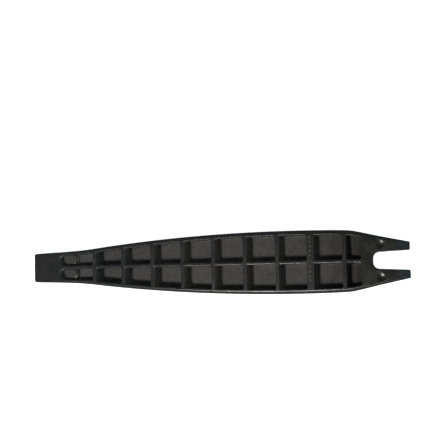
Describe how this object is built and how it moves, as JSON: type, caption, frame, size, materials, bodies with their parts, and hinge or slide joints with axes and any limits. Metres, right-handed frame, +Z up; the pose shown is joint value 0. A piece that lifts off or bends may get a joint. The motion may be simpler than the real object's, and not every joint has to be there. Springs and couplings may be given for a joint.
{
  "type": "spudger",
  "caption": "Flat two-ended pry tool moulded in black plastic: thin chisel blade at one end, clip-lifting fork at the other, smooth underside and an open ribbed top.",
  "frame": {"origin": "centre of the bounding box's bottom: on the smooth face's plane, midway along the tool and across it", "axes": "+X towards the forked end, -X towards the chisel blade, +Y to the tool's left, +Z up through the open ribbed side"},
  "size_m": [0.2005, 0.0322, 0.01],
  "materials": {
    "smooth_skin": "glossy black nylon",
    "ribbed_side": "satin black nylon, as the mould's core leaves it"
  },
  "bodies": {
    "root": {"chisel_blade": "smooth_skin", "cross_rib_1_left": "ribbed_side", "cross_rib_1_right": "ribbed_side", "cross_rib_2_left": "ribbed_side", "cross_rib_2_right": "ribbed_side", "cross_rib_3_left": "ribbed_side", "cross_rib_3_right": "ribbed_side", "cross_rib_4_left": "ribbed_side", "cross_rib_4_right": "ribbed_side", "cross_rib_5_left": "ribbed_side", "cross_rib_5_right": "ribbed_side", "cross_rib_6_left": "ribbed_side", "cross_rib_6_right": "ribbed_side", "cross_rib_7_left": "ribbed_side", "cross_rib_7_right": "ribbed_side", "cross_rib_8_left": "ribbed_side", "cross_rib_8_right": "ribbed_side", "cross_rib_9_left": "ribbed_side", "cross_rib_9_right": "ribbed_side", "face_plate": "smooth_skin", "fork_base": "smooth_skin", "fork_prong_left": "smooth_skin", "fork_prong_right": "smooth_skin", "nose_step_left": "ribbed_side", "nose_step_right": "ribbed_side", "side_wall_left": "smooth_skin", "side_wall_right": "smooth_skin", "spine_rib": "ribbed_side", "tail_ramp_left": "ribbed_side", "tail_ramp_right": "ribbed_side"}
  },
  "joints": []
}
